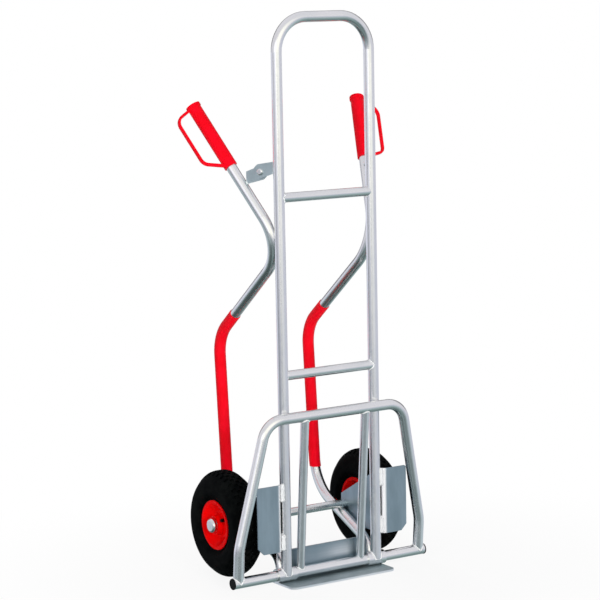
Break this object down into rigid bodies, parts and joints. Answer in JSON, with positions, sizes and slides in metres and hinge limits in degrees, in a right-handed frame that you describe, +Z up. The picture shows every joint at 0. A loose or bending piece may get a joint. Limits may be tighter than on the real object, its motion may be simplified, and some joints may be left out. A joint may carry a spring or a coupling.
{
  "type": "hand truck",
  "caption": "Aluminium stacker hand truck with slide runners, closed safety grips, a fixed toe plate, a folding shovel frame and pneumatic wheels behind sheet guards.",
  "frame": {"origin": "on the floor, midway between the legs, in the plane of the legs' centre lines, on the underside of the toe plate", "axes": "+Z up along the legs, +Y to the rear, away from the load and towards the axle, +X from the left wheel to the right wheel"},
  "size_m": [0.5628, 0.3473, 1.3235],
  "materials": {
    "tube_aluminium": "satin",
    "sheet_aluminium": "satin",
    "red_plastic": "satin",
    "rim_plastic": "gloss",
    "black_plastic": "matte",
    "plated_steel": "bright",
    "axle_steel": "satin",
    "bearing_steel": "satin",
    "tyre_rubber": "matte",
    "tube_rubber": "matte",
    "valve_rubber": "matte"
  },
  "bodies": {
    "frame": {"main_frame_tube": "tube_aluminium", "upper_crossbar": "tube_aluminium", "lower_crossbar": "tube_aluminium", "toe_plate": "sheet_aluminium", "stay_bolts": "plated_steel", "stay_nuts": "plated_steel", "axle": "axle_steel", "axle_spacers": "axle_steel", "axle_washers": "plated_steel", "runner_tube_left": "tube_aluminium", "hinge_knuckle_left": "tube_aluminium", "slide_sleeve_left": "red_plastic", "grip_left": "red_plastic", "stay_leg_lug_left": "sheet_aluminium", "stay_handle_lug_left": "sheet_aluminium", "side_bracket_left": "sheet_aluminium", "axle_cap_left": "plated_steel", "runner_tube_right": "tube_aluminium", "hinge_knuckle_right": "tube_aluminium", "slide_sleeve_right": "red_plastic", "grip_right": "red_plastic", "stay_leg_lug_right": "sheet_aluminium", "stay_handle_lug_right": "sheet_aluminium", "side_bracket_right": "sheet_aluminium", "axle_cap_right": "plated_steel"},
    "shovel": {"shovel_cross_tube": "tube_aluminium", "shovel_bow_tube": "tube_aluminium", "shovel_bar_left": "tube_aluminium", "cross_tube_plug_left": "black_plastic", "shovel_bar_right": "tube_aluminium", "cross_tube_plug_right": "black_plastic"},
    "wheel_left": {"tyre_left": "tyre_rubber", "inner_tube_left": "tube_rubber", "rim_left": "rim_plastic", "valve_left": "valve_rubber", "bearings_left": "bearing_steel"},
    "wheel_right": {"tyre_right": "tyre_rubber", "inner_tube_right": "tube_rubber", "rim_right": "rim_plastic", "valve_right": "valve_rubber", "bearings_right": "bearing_steel"}
  },
  "joints": [
    {"name": "shovel_fold", "type": "hinge", "parent": "frame", "child": "shovel", "pos_m": [0, 0.007, 0.0216], "axis": [1, 0, 0], "range_deg": [0, 86]},
    {"name": "wheel_left_spin", "type": "hinge", "parent": "frame", "child": "wheel_left", "pos_m": [-0.2006, 0.144, 0.129], "axis": [1, 0, 0], "continuous": true},
    {"name": "wheel_right_spin", "type": "hinge", "parent": "frame", "child": "wheel_right", "pos_m": [0.2006, 0.144, 0.129], "axis": [1, 0, 0], "continuous": true}
  ]
}
